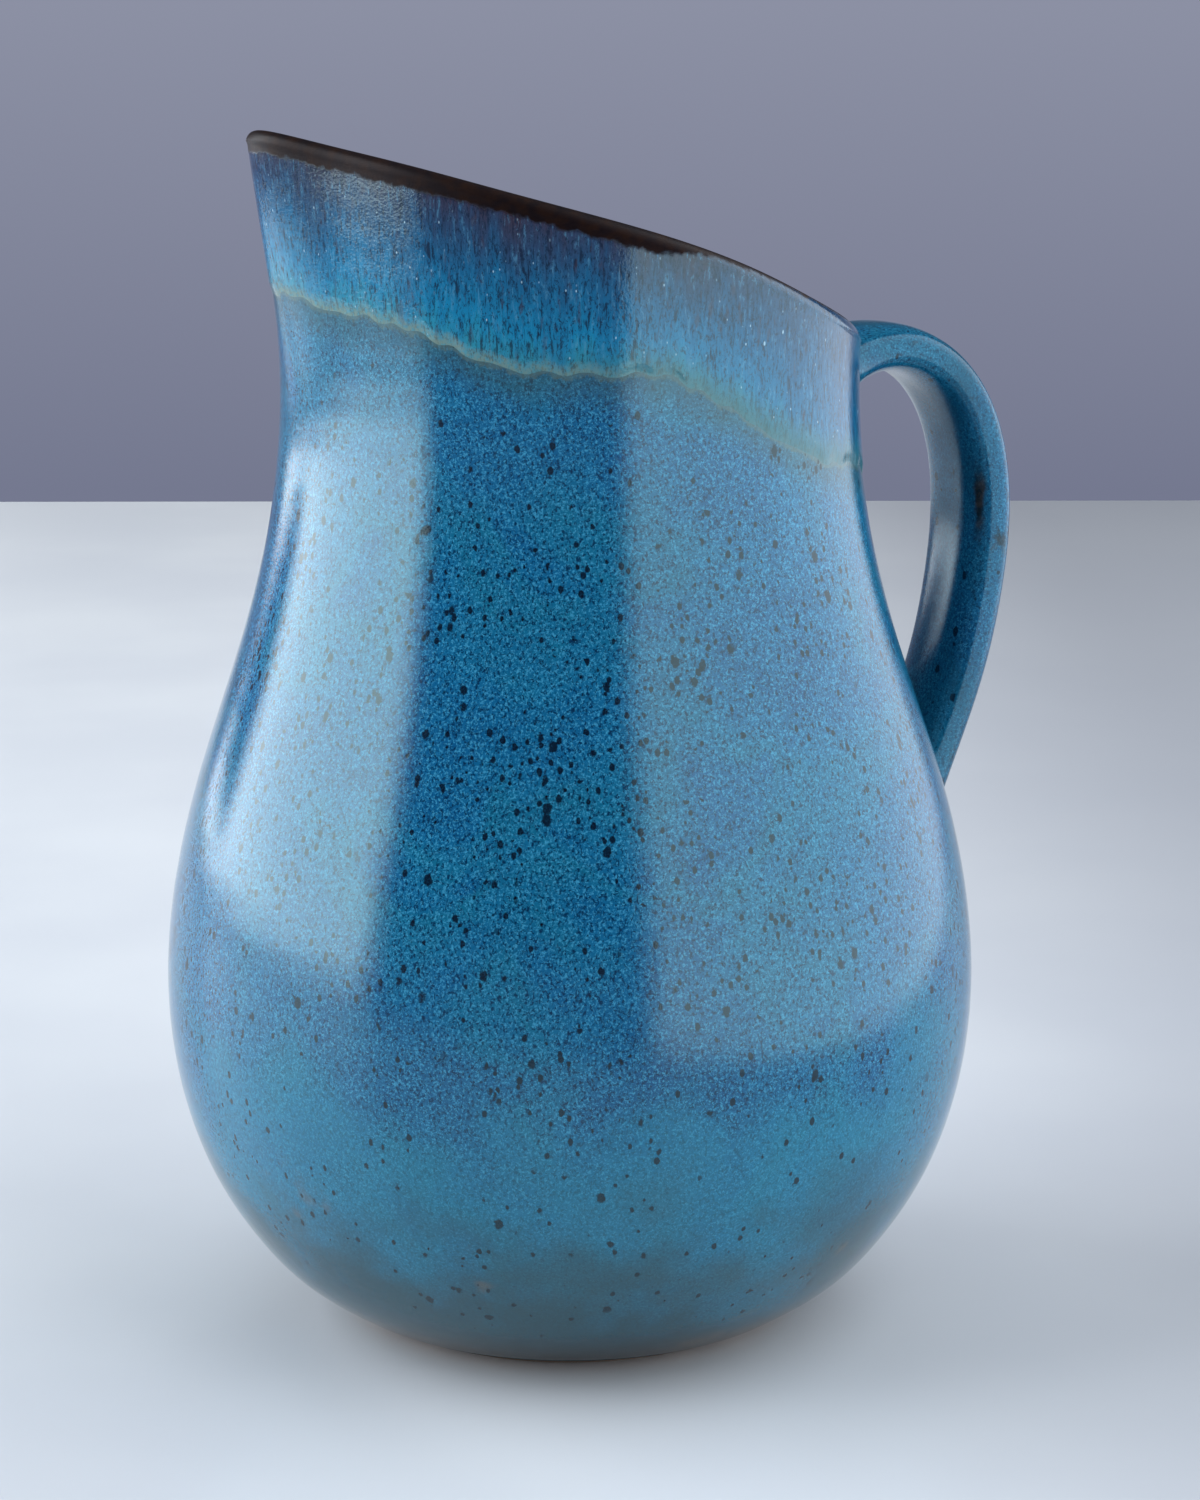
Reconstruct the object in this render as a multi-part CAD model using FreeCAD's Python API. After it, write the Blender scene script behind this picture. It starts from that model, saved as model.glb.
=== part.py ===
import FreeCAD, Part
import math
import os

# Stoneware pitcher, in millimetres. Z is up and the pitcher stands on z = 0.
# The thrown body turns about the Z axis, the pouring lip points along -X and
# the handle is on the +X side, so the XZ plane is the plane of symmetry.

# Outside of the finished body: radius and height along one side, from the
# foot, past the belly and the neck, to a little above the highest lip.
BODY_PROFILE = [
    (42.5, 0.0),
    (57.8, 8.5),
    (74.4, 28.5),
    (84.9, 71.0),
    (77.5, 116.0),
    (65.9, 152.0),
    (59.6, 188.0),
    (60.6, 230.0),
    (61.8, 262.0),
]
PROFILE_TOP = BODY_PROFILE[-1][1]

# Top edge of the body seen from the side: x and height, from lip to handle.
RIM_LINE = [
    (-90.0, 257.8),
    (-65.0, 248.8),
    (-25.0, 235.6),
    (0.0, 228.2),
    (38.0, 213.4),
    (60.0, 206.0),
    (90.0, 196.0),
]

# The lip is pulled out of the neck: how far, how wide and from what height.
SPOUT_REACH = 7.0
SPOUT_HALF_ANGLE = 0.24
SPOUT_START = 178.0

# Clay wall, which thins towards the rim, and the floor inside.
WALL_AT_FOOT = 6.0
WALL_AT_RIM = 3.4
FLOOR_THICKNESS = 8.0

# Hollow under the base, which leaves a ring to stand on.
BASE_HOLLOW_RADIUS = 33.0
BASE_HOLLOW_DEPTH = 1.5

# Glazes: the coat all over and the second coat over the rim.
GLAZE = 0.7
RIM_GLAZE = 0.45
GLAZE_FREE_FOOT = 2.5
LIP_ROUND = 1.55

# The rim glaze is cut from a short cup that starts below its lower edge, and
# the liner glaze ends a little below the rim, where the outer glaze begins.
RIM_CUP_BOTTOM = 150.0
LINER_BELOW_RIM = 9.0

# Lower edge of the rim glaze seen from the side: x and height.
RIM_GLAZE_EDGE = [
    (-90.0, 228.0),
    (-63.0, 217.6),
    (-50.0, 211.2),
    (-34.0, 205.0),
    (-20.0, 203.4),
    (-6.0, 202.2),
    (8.0, 195.6),
    (24.0, 187.6),
    (42.0, 181.2),
    (90.0, 166.0),
]

# Middle line of the handle in the XZ plane, from inside the neck round to
# inside the shoulder, with half its thickness and half its width there.
HANDLE_STATIONS = [
    (50.0, 194.0, 7.6, 18.0),
    (59.0, 198.6, 6.2, 15.4),
    (66.0, 200.9, 5.5, 13.3),
    (74.0, 201.4, 5.3, 12.7),
    (84.4, 197.0, 5.4, 12.6),
    (92.2, 187.0, 5.5, 12.6),
    (96.3, 170.0, 5.6, 12.6),
    (95.2, 150.0, 5.6, 12.5),
    (90.6, 130.0, 5.5, 12.4),
    (83.6, 112.5, 5.7, 12.8),
    (77.0, 99.5, 6.6, 14.4),
    (69.5, 87.0, 8.4, 17.4),
]
# 2 would make the strap's section an ellipse, and higher squares it off.
HANDLE_SQUARENESS = 2.6

SECTION_POINTS = 40
HANDLE_SECTION_POINTS = 24
LEVELS = 21
LEVEL_CROWDING = 1.4

# Flat tops of the plain forms, all above the highest lip. They differ, so
# that no two of them lie in one plane.
OUTSIDE_TOP = 258.0
MIDDLE_TOP = 258.5
INSIDE_TOP = 259.0

BIG = 400.0
NEAR = 0.02
HALVINGS = 50


def vector(x, y, z):
    return FreeCAD.Vector(x, y, z)


def spline_through(points, closed=False):
    curve = Part.BSplineCurve()
    curve.interpolate(Points=points, PeriodicFlag=closed)
    return curve


def clay_wall(height):
    """Thickness of the clay at a height."""
    return WALL_AT_FOOT + (WALL_AT_RIM - WALL_AT_FOOT) * height / PROFILE_TOP


def moved_profile(growth):
    """The body's side outline, moved along its normal by growth(height)."""
    outline = spline_through([vector(r, 0, z) for r, z in BODY_PROFILE])
    moved = []
    for radius, height in BODY_PROFILE:
        place = outline.parameter(vector(radius, 0, height))
        along = outline.tangent(place)[0]
        distance = growth(height)
        moved.append(vector(radius + along.z * distance, 0, height - along.x * distance))
    return spline_through(moved)


def radius_at(outline, height):
    """Radius where a side outline passes a height, found by halving."""
    low = outline.FirstParameter
    high = outline.LastParameter
    for _ in range(HALVINGS):
        middle = (low + high) / 2
        if outline.value(middle).z < height:
            low = middle
        else:
            high = middle
    return outline.value(low).x


def spout_pull(height, angle):
    """How far the lip stands out of the round neck at an angle from -X."""
    share = (height - SPOUT_START) / (PROFILE_TOP - SPOUT_START)
    share = min(max(share, 0.0), 1.0)
    rise = (1 - math.cos(math.pi * share)) / 2
    return SPOUT_REACH * rise * math.exp(-((angle / SPOUT_HALF_ANGLE) ** 2))


def level_outline(outline, height):
    """Closed level section of the body at a height."""
    radius = radius_at(outline, height)
    points = []
    for i in range(SECTION_POINTS):
        turn = 2 * math.pi * i / SECTION_POINTS + math.pi / 2
        from_spout = abs(math.remainder(turn - math.pi, 2 * math.pi))
        reach = radius + spout_pull(height, from_spout)
        points.append(vector(reach * math.cos(turn), reach * math.sin(turn), height))
    return Part.Wire([spline_through(points, closed=True).toShape()])


def body_form(growth, bottom, top):
    """Solid inside the moved outline, between two heights.

    The levels stand closer together near the foot, where the side curves most.
    """
    outline = moved_profile(growth)
    wires = []
    for i in range(LEVELS):
        height = bottom + (top - bottom) * (i / (LEVELS - 1)) ** LEVEL_CROWDING
        wires.append(level_outline(outline, height))
    return Part.makeLoft(wires, True, False)


def above_line(line, lift=0.0):
    """Everything above a line drawn in the side view, raised by lift."""
    points = [vector(x, -BIG / 2, z + lift) for x, z in line]
    first = points[0]
    last = points[-1]
    corners = [last, vector(last.x, last.y, BIG), vector(first.x, first.y, BIG), first]
    sides = [Part.makeLine(a, b) for a, b in zip(corners, corners[1:])]
    outline = Part.Wire([spline_through(points).toShape()] + sides)
    return Part.Face(outline).extrude(vector(0, BIG, 0))


def round_lip(shape, lift, radius):
    """Round both edges of the top face, which lie on the raised rim line."""
    rim = spline_through([vector(x, 0, z + lift) for x, z in RIM_LINE]).toShape()
    edges = []
    for edge in shape.Edges:
        length = edge.LastParameter - edge.FirstParameter
        spots = [edge.valueAt(edge.FirstParameter + length * s) for s in (0.1, 0.4, 0.7)]
        flat = [Part.Vertex(spot.x, 0, spot.z) for spot in spots]
        if all(rim.distToShape(spot)[0] < NEAR for spot in flat):
            edges.append(edge)
    return shape.makeFillet(radius, edges)


def cup(coat, bottom, floor):
    """The body with its wall, thicker by a coat on every side, and a round lip."""
    outside = body_form(lambda height: coat - GLAZE, bottom, OUTSIDE_TOP)
    inside = body_form(lambda height: -GLAZE - clay_wall(height) - coat, floor, INSIDE_TOP)
    lift = coat - GLAZE - RIM_GLAZE
    open_cup = outside.cut(inside).cut(above_line(RIM_LINE, lift))
    return round_lip(open_cup, lift, LIP_ROUND + coat)


def base_hollow():
    """Shallow dish under the base: the cap of a large ball."""
    ball = (BASE_HOLLOW_RADIUS**2 + BASE_HOLLOW_DEPTH**2) / (2 * BASE_HOLLOW_DEPTH)
    return Part.makeSphere(ball, vector(0, 0, BASE_HOLLOW_DEPTH - ball))


def strap_outline(centre, across, thickness, width):
    """Closed squared-off oval, square to the handle's middle line."""
    power = 2 / HANDLE_SQUARENESS
    points = []
    for i in range(HANDLE_SECTION_POINTS):
        turn = 2 * math.pi * i / HANDLE_SECTION_POINTS
        out = math.copysign(abs(math.cos(turn)) ** power, math.cos(turn)) * thickness
        side = math.copysign(abs(math.sin(turn)) ** power, math.sin(turn)) * width
        points.append(centre + across * out + vector(0, side, 0))
    return Part.Wire([spline_through(points, closed=True).toShape()])


def strap(shrink):
    """The whole handle, ending inside the body's wall, smaller by shrink."""
    middle = spline_through([vector(x, 0, z) for x, z, _, _ in HANDLE_STATIONS])
    wires = []
    for x, z, thickness, width in HANDLE_STATIONS:
        centre = vector(x, 0, z)
        along = middle.tangent(middle.parameter(centre))[0]
        across = vector(-along.z, 0, along.x)
        wires.append(strap_outline(centre, across, thickness - shrink, width - shrink))
    return Part.makeLoft(wires, True, False)


def solid_of(shape):
    """The one solid of a shape, or all of them as a compound."""
    solids = shape.Solids
    return solids[0] if len(solids) == 1 else Part.makeCompound(solids)


def build():
    clay_cup = cup(0.0, 0.0, FLOOR_THICKNESS)
    glazed_cup = cup(GLAZE, 0.0, FLOOR_THICKNESS + GLAZE)
    rim_cup = cup(GLAZE + RIM_GLAZE, RIM_CUP_BOTTOM, RIM_CUP_BOTTOM)

    clay_outside = body_form(lambda height: -GLAZE, 0.0, OUTSIDE_TOP)
    glazed_outside = body_form(lambda height: 0.0, 0.0, OUTSIDE_TOP)
    mid_wall = body_form(lambda height: -GLAZE - clay_wall(height) / 2, FLOOR_THICKNESS / 2, MIDDLE_TOP)
    handle_clay = strap(GLAZE).cut(mid_wall)
    handle_glazed = strap(0.0).cut(mid_wall)
    slip = handle_clay.common(glazed_outside).cut(clay_outside)
    slips = sorted(slip.Solids, key=lambda solid: solid.CenterOfMass.z)

    liner_zone = mid_wall.cut(above_line(RIM_LINE, -LINER_BELOW_RIM))
    foot_zone = Part.makeBox(BIG, BIG, GLAZE_FREE_FOOT, vector(-BIG / 2, -BIG / 2, 0))
    rim_zone = above_line(RIM_GLAZE_EDGE)
    return {
        "body": clay_cup.cut(base_hollow()),
        "handle": handle_clay.cut(glazed_outside),
        "lower_slip_joint": slips[0],
        "upper_slip_joint": slips[-1],
        "outer_glaze": glazed_cup.cut(liner_zone).cut(clay_cup).cut(foot_zone).cut(handle_clay),
        "liner_glaze": glazed_cup.common(liner_zone).cut(clay_cup),
        "rim_glaze": rim_cup.cut(glazed_cup).common(rim_zone).cut(handle_glazed),
        "handle_glaze": handle_glazed.cut(handle_clay).cut(glazed_outside),
    }


os.makedirs("parts", exist_ok=True)
for name, shape in build().items():
    piece = solid_of(shape)
    print(name, len(shape.Solids), piece.isValid(), round(piece.Volume))
    piece.exportStep(os.path.join("parts", name + ".step"))
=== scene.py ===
import math

import bmesh
import bpy
import numpy as np
from mathutils import Matrix, Vector


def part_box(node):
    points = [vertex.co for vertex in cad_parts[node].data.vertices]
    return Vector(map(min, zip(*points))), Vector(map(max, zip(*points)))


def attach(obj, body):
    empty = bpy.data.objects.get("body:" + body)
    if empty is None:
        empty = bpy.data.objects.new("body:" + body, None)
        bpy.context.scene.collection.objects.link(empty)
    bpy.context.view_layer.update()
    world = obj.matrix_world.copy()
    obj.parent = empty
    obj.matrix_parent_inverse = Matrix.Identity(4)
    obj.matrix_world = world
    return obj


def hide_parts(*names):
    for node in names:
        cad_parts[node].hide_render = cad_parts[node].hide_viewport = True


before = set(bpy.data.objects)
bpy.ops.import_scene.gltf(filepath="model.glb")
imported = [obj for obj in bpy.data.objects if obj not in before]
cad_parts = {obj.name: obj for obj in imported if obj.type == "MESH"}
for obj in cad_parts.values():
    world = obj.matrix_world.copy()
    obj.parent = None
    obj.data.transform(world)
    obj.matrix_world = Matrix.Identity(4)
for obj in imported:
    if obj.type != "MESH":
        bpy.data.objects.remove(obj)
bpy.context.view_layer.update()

# Lengths are millimetres until a mesh is made. The pouring lip points along
# -X and the handle is at +X, and a turn is an angle about Z from +X.
MM = 0.001
AROUND = 400
TURNS = 2 * math.pi * np.arange(AROUND) / AROUND

# The lip is pulled out of the round neck, as in the CAD body.
LIP_REACH = 7.0
LIP_HALF_ANGLE = 0.24
LIP_START = 178.0
LIP_TOP = 262.0

# Coats of glaze, and how far the skins that nobody sees lie inside them.
BLUE_GLAZE = 0.7
RIM_GLAZE = 0.45
UNDERSIDE = 0.6
RIM_UNDERSIDE = 0.25

# The blue coat ends above the foot, where it thins out over FOOT_ROUND, and
# the liner ends below the rim.
FREE_FOOT = 2.5
FOOT_ROUND = 0.9
LINER_BELOW_RIM = 9.0

# The rim glaze thickens between these distances above its wavy lower edge. It
# is sunk a little, so that its edge begins under the blue coat's surface.
EDGE_START = -0.4
EDGE_SLOPE = 3.2
EDGE_SINK = 0.05
EDGE_WAVE = 0.9
EDGE_SCALLOP = 0.85

# The handle and the lip are this much smaller than in CAD, to stay in its box.
TRIM = 0.1

# Depth of the hand-thrown unevenness, and the say of the throwing rings in it.
WOBBLE = 0.16
RING_SHARE = 0.15

# The CAD walls are measured at a turn clear of the lip and the handle, at
# levels that stand closer together near the foot.
ASIDE = math.pi - 0.95
LEVEL_CROWDING = 1.3
RAY_START = 0.5
CLEAR_OF_FOOT = 0.6
CLEAR_OF_FLOOR = 0.5
OUTSIDE_TOP = 236.0
INSIDE_TOP = 222.0

# The height of a slanted edge depends on the radius there, which depends on
# the height. It is found in a few rounds from a first guess.
RIM_GUESS = 225.0
EDGE_GUESS = 200.0
ROUNDS = 4

# Rings of points in each coat, and how they lean on the round lip.
BLUE_WALL_RINGS = 205
BLUE_LIP_LEANS = np.linspace(0.2, math.pi, 12)
RIM_WALL_RINGS = 60
RIM_LIP_LEANS = np.linspace(0.15, math.pi, 18)
RIM_INNER_RINGS = 36
EDGE_CROWDING = 1.6
LINER_WALL_RINGS = 110
LINER_CORNER_RINGS = 14
LINER_FLOOR_RINGS = 26

# The corner between the inside wall and the floor, and the soft spiral that
# the potter's finger left on the floor.
CORNER_SIZE = 14.0
SPIRAL_DEPTH = 0.25
SPIRAL_WINDING = 0.8

# Marks on points that are nowhere near the rim.
FAR = 200.0

# Middle line of the handle, as in CAD: x, z, half thickness and half width.
HANDLE_STATIONS = [
    (50.0, 194.0, 7.6, 18.0),
    (59.0, 198.6, 6.2, 15.4),
    (66.0, 200.9, 5.5, 13.3),
    (74.0, 201.4, 5.3, 12.7),
    (84.4, 197.0, 5.4, 12.6),
    (92.2, 187.0, 5.5, 12.6),
    (96.3, 170.0, 5.6, 12.6),
    (95.2, 150.0, 5.6, 12.5),
    (90.6, 130.0, 5.5, 12.4),
    (83.6, 112.5, 5.7, 12.8),
    (77.0, 99.5, 6.6, 14.4),
    (69.5, 87.0, 8.4, 17.4),
]
HANDLE_SQUARENESS = 2.6
HANDLE_AROUND = 72
HANDLE_RINGS = 170
HANDLE_STEP = 0.1

# Glaze pooled at the handle's joints: how thick it is, how far it reaches, and
# the heights between which it dies out below the rim.
JOINT_SWELL = 1.6
JOINT_REACH = 5.0
SWELL_FULL = 196.0
SWELL_GONE = 203.0
# How deep in the wall the handle's coat ends.
SUNK = 2.5


# ---------------------------------------------------------------- curves

def spline(places, values):
    """A smooth curve through a few values: returns it as a function of place."""
    x = np.array(places, float)
    y = np.array(values, float)
    gaps = np.diff(x)
    slopes = np.diff(y) / gaps
    matrix = np.identity(len(x))
    right = np.zeros(len(x))
    for i in range(1, len(x) - 1):
        matrix[i, i - 1 : i + 2] = gaps[i - 1], 2 * (gaps[i - 1] + gaps[i]), gaps[i]
        right[i] = 3 * (slopes[i] - slopes[i - 1])
    bend = np.linalg.solve(matrix, right)

    def curve(at):
        at = np.asarray(at, float)
        i = np.clip(np.searchsorted(x, at) - 1, 0, len(x) - 2)
        step = at - x[i]
        start = slopes[i] - gaps[i] * (2 * bend[i] + bend[i + 1]) / 3
        growth = (bend[i + 1] - bend[i]) / (3 * gaps[i])
        return y[i] + start * step + bend[i] * step**2 + growth * step**3

    return curve


def ease(value, low, high):
    """0 below low, 1 above high, and smooth between them."""
    share = np.clip((value - low) / (high - low), 0, 1)
    return share * share * (3 - 2 * share)


def ripples(seed, count, most_around, most_up):
    """A seeded soft pattern over turn and height, between -1 and 1."""
    random = np.random.default_rng(seed)
    around = random.integers(0, most_around + 1, count)
    up = random.uniform(-most_up, most_up, count)
    phase = random.uniform(0, 2 * math.pi, count)

    def pattern(turn, height):
        total = 0
        for a, u, p in zip(around, up, phase):
            total = total + np.sin(a * turn + u * height + p)
        return np.tanh(total / math.sqrt(count))

    return pattern


# ------------------------------------------------- what the CAD glaze says

def wall_radius(node, height, turn, from_inside):
    """Radius at which a level ray meets a CAD node, from outside or from the axis."""
    out = Vector((math.cos(turn), math.sin(turn), 0))
    level = Vector((0, 0, height * MM))
    far = 0 if from_inside else RAY_START
    way = out if from_inside else -out
    _, place, _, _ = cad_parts[node].ray_cast(level + out * far, way)
    return math.hypot(place.x, place.y) / MM


def side_outline(node, low, high, count, from_inside=False):
    """Radius as a smooth function of height, away from the lip's pull."""
    heights = low + (high - low) * np.linspace(0, 1, count) ** LEVEL_CROWDING
    return spline(heights, [wall_radius(node, z, ASIDE, from_inside) for z in heights])


def edge_line(node, pick, count):
    """Height of a node's highest or lowest edge as a smooth function of x."""
    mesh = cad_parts[node].data
    points = np.empty(len(mesh.vertices) * 3)
    mesh.vertices.foreach_get("co", points)
    points = points.reshape(-1, 3) / MM
    bins = np.linspace(points[:, 0].min(), points[:, 0].max(), count + 1)
    found = []
    for low, high in zip(bins, bins[1:]):
        inside = points[(points[:, 0] >= low) & (points[:, 0] <= high)]
        found.append(inside[pick(inside[:, 2])])
    return spline([p[0] for p in found], [p[2] for p in found])


outside_radius = side_outline("outer_glaze", FREE_FOOT + CLEAR_OF_FOOT, OUTSIDE_TOP, count=17)
floor_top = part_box("liner_glaze")[0].z / MM + BLUE_GLAZE
inside_bottom = floor_top + CLEAR_OF_FLOOR
inside_radius = side_outline("liner_glaze", inside_bottom, INSIDE_TOP, count=15, from_inside=True)
rim_line = edge_line("rim_glaze", pick=np.argmax, count=8)
glaze_line = edge_line("rim_glaze", pick=np.argmin, count=11)
hand_wobble = ripples(seed=3, count=9, most_around=5, most_up=0.09)
throwing_rings = ripples(seed=11, count=5, most_around=1, most_up=0.9)
edge_waves = ripples(seed=21, count=7, most_around=9, most_up=0)
edge_scallops = ripples(seed=8, count=12, most_around=60, most_up=0)


def lip_pull(height, turn):
    """How far the lip stands out of the round neck."""
    from_lip = np.abs(np.remainder(turn, 2 * math.pi) - math.pi)
    share = np.clip((height - LIP_START) / (LIP_TOP - LIP_START), 0, 1)
    rise = (1 - np.cos(math.pi * share)) / 2
    return LIP_REACH * rise * np.exp(-((from_lip / LIP_HALF_ANGLE) ** 2))


def thrown(height, turn):
    """The small unevenness of a wall pulled up by hand, never outwards."""
    soft = hand_wobble(turn, height) + RING_SHARE * throwing_rings(turn, height)
    return WOBBLE * (soft / 3 - 0.5)


def outside(height, turn, coat=0.0):
    """Radius of the outside wall, with a coat of glaze on it."""
    return outside_radius(height) + lip_pull(height, turn) + thrown(height, turn) + coat


def inside(height, turn, coat=0.0):
    """Radius of the inside wall, with a coat of glaze on it."""
    return inside_radius(height) + lip_pull(height, turn) + thrown(height, turn) - coat


def point(radius, turn, height):
    """Places at a radius, a turn and a height, one for each turn."""
    return np.stack([radius * np.cos(turn), radius * np.sin(turn), height + 0 * radius], axis=-1)


def rim_height(turn):
    """Height of the mouth's edge at each turn."""
    height = np.full_like(turn, RIM_GUESS)
    for _ in range(ROUNDS):
        middle = (outside(height, turn) + inside(height, turn)) / 2
        height = rim_line(middle * np.cos(turn))
    return height


def glaze_edge_height(turn):
    """Height of the rim glaze's wavy lower edge at each turn."""
    height = np.full_like(turn, EDGE_GUESS)
    for _ in range(ROUNDS):
        height = glaze_line(outside(height, turn) * np.cos(turn))
    return height + EDGE_WAVE * edge_waves(turn, 0) + EDGE_SCALLOP * edge_scallops(turn, 0)


RIM = rim_height(TURNS)
GLAZE_EDGE = glaze_edge_height(TURNS)


# ---------------------------------------------------------------- meshes

def ringed_mesh(name, rings, joined_up, marks):
    """Closed smooth mesh from rings of points in millimetres.

    A ring of one point closes an end. marks holds numbers for each ring's
    points, by name, which the materials read.
    """
    starts = np.cumsum([0] + [len(ring) for ring in rings])
    order = list(range(len(rings))) + ([0] if joined_up else [])
    faces = []
    for a, b in zip(order, order[1:]):
        size = max(len(rings[a]), len(rings[b]))
        for j in range(size):
            k = j + 1
            corners = [
                starts[a] + j % len(rings[a]),
                starts[a] + k % len(rings[a]),
                starts[b] + k % len(rings[b]),
                starts[b] + j % len(rings[b]),
            ]
            faces.append(list(dict.fromkeys(int(c) for c in corners)))
    mesh = bpy.data.meshes.new(name)
    mesh.from_pydata(np.concatenate(rings) * MM, [], faces)
    for mark, values in marks.items():
        layer = mesh.attributes.new(mark, "FLOAT", "POINT")
        layer.data.foreach_set("value", np.concatenate(values).astype(np.float32))
    shape = bmesh.new()
    shape.from_mesh(mesh)
    bmesh.ops.recalc_face_normals(shape, faces=shape.faces)
    shape.to_mesh(mesh)
    shape.free()
    mesh.shade_smooth()
    piece = bpy.data.objects.new(name, mesh)
    bpy.context.scene.collection.objects.link(piece)
    return piece


def lip_ring(turn, rim, lean, coat):
    """A ring on the round lip: lean is 0 at the outside wall and pi at the inside."""
    out = outside(rim, turn, coat)
    back = inside(rim, turn, coat)
    half = (out - back) / 2
    radius = (out + back) / 2 + half * math.cos(lean)
    top = rim_line(radius * np.cos(turn)) - RIM_GLAZE - TRIM + coat
    return point(radius, turn, top - half * (1 - math.sin(lean)))


def lip_start(coat):
    """Height at which the outside wall turns into the round lip."""
    half = (outside(RIM, TURNS, coat) - inside(RIM, TURNS, coat)) / 2
    return rim_line(outside(RIM, TURNS) * np.cos(TURNS)) - RIM_GLAZE + coat - half


def wall_rings(wall, bottom, top, count, coat_at, spread=1.0):
    """Rings up a wall between two heights.

    coat_at gives the coat by the distance from the bottom, and a spread above
    1 crowds the rings there.
    """
    rings = []
    for share in np.linspace(0, 1, count) ** spread:
        height = bottom + (top - bottom) * share
        rings.append(point(wall(height, TURNS, coat_at(height - bottom)), TURNS, height))
    return rings


def glaze_marks(rings):
    """How far each point is from the rim and above the rim glaze's edge."""
    from_rim = []
    above_edge = []
    for ring in rings:
        if len(ring) == AROUND:
            from_rim.append(np.abs(RIM - ring[:, 2]))
            above_edge.append(ring[:, 2] - GLAZE_EDGE)
        else:
            # This is the one point in the middle of the floor.
            from_rim.append(np.full(len(ring), FAR))
            above_edge.append(np.full(len(ring), -FAR))
    return {"below_rim": from_rim, "above_edge": above_edge}


def blue_skin(coat, thinned):
    """Rings of the blue coat: up the outside, over the lip and a little way in.

    thinned is how much thinner the coat is at its bottom end.
    """

    def coat_at(above):
        return coat - thinned * np.clip(1 - above / FOOT_ROUND, 0, 1) ** 2

    bottom = np.full(AROUND, FREE_FOOT)
    rings = wall_rings(outside, bottom, lip_start(coat), BLUE_WALL_RINGS, coat_at)
    rings += [lip_ring(TURNS, RIM, lean, coat) for lean in BLUE_LIP_LEANS]
    inner_top = rings[-1][:, 2]
    for share in (0.35, 0.7, 1.0):
        height = inner_top + (RIM - LINER_BELOW_RIM - inner_top) * share
        rings.append(point(inside(height, TURNS, coat), TURNS, height))
    return rings


def make_outer_coat():
    """The blue coat on the outside wall and the lip."""
    rings = blue_skin(0.0, UNDERSIDE) + blue_skin(-UNDERSIDE, 0.0)[::-1]
    return ringed_mesh("outer_coat", rings, True, glaze_marks(rings))


def rim_coat_at(above):
    """The rim glaze on top of the blue one: nothing at its edge, and thicker above it."""
    return RIM_GLAZE * ease(above, EDGE_START, EDGE_SLOPE) - EDGE_SINK


def rim_skin(coat_at, coat):
    """Rings of the rim glaze: up the outside from its wavy edge, over the lip and down the inside."""
    rings = wall_rings(outside, GLAZE_EDGE, lip_start(coat), RIM_WALL_RINGS, coat_at, EDGE_CROWDING)
    rings += [lip_ring(TURNS, RIM, lean, coat) for lean in RIM_LIP_LEANS]
    inner_top = rings[-1][:, 2]
    inner = wall_rings(inside, GLAZE_EDGE, inner_top, RIM_INNER_RINGS, coat_at, EDGE_CROWDING)
    return rings + inner[-2::-1]


def make_rim_coat():
    """The glaze that the rim was dipped in, outside and inside."""
    rings = rim_skin(rim_coat_at, RIM_GLAZE)
    rings += rim_skin(lambda above: -RIM_UNDERSIDE, -RIM_UNDERSIDE)[::-1]
    return ringed_mesh("rim_coat", rings, True, glaze_marks(rings))


def liner_skin(coat):
    """Rings of the liner: down the inside wall, round the corner and over the floor."""
    corner_start = floor_top + CORNER_SIZE
    bottom = np.full(AROUND, corner_start)
    top = RIM - LINER_BELOW_RIM
    rings = wall_rings(inside, bottom, top, LINER_WALL_RINGS, lambda above: coat)[::-1]
    wall_reach = np.hypot(rings[-1][:, 0], rings[-1][:, 1])
    corner_reach = float(inside_radius(floor_top + 1.0)) - 1.0
    floor_reach = corner_reach - CORNER_SIZE
    floor = floor_top + coat
    for share in np.linspace(0, 1, LINER_CORNER_RINGS)[1:]:
        rest = 1 - share
        radius = rest**2 * wall_reach + 2 * share * rest * corner_reach + share**2 * floor_reach
        height = rest**2 * corner_start + (1 - rest**2) * floor
        rings.append(point(radius, TURNS, height))
    for share in np.linspace(0, 1, LINER_FLOOR_RINGS)[1:-1]:
        radius = np.full(AROUND, floor_reach * (1 - share))
        spiral = SPIRAL_DEPTH * np.sin(radius * SPIRAL_WINDING + TURNS) * math.sin(math.pi * share)
        rings.append(point(radius, TURNS, floor + spiral))
    rings.append(np.array([[0.0, 0.0, floor]]))
    return rings


def make_inner_coat():
    """The liner on the inside wall and the floor."""
    rings = liner_skin(0.0)[::-1] + liner_skin(-UNDERSIDE)
    return ringed_mesh("inner_coat", rings, False, glaze_marks(rings))


def handle_lines():
    """The handle's length, and x, z, half thickness and half width as functions of the way along it."""
    stations = np.array(HANDLE_STATIONS)
    steps = np.hypot(*np.diff(stations[:, :2], axis=0).T)
    lengths = np.concatenate([[0], np.cumsum(steps)])
    return lengths[-1], [spline(lengths, column) for column in stations.T]


def body_gap(points):
    """How far points stand out of the body's outside wall."""
    turn = np.arctan2(points[:, 1], points[:, 0])
    return np.hypot(points[:, 0], points[:, 1]) - outside(points[:, 2], turn)


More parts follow.
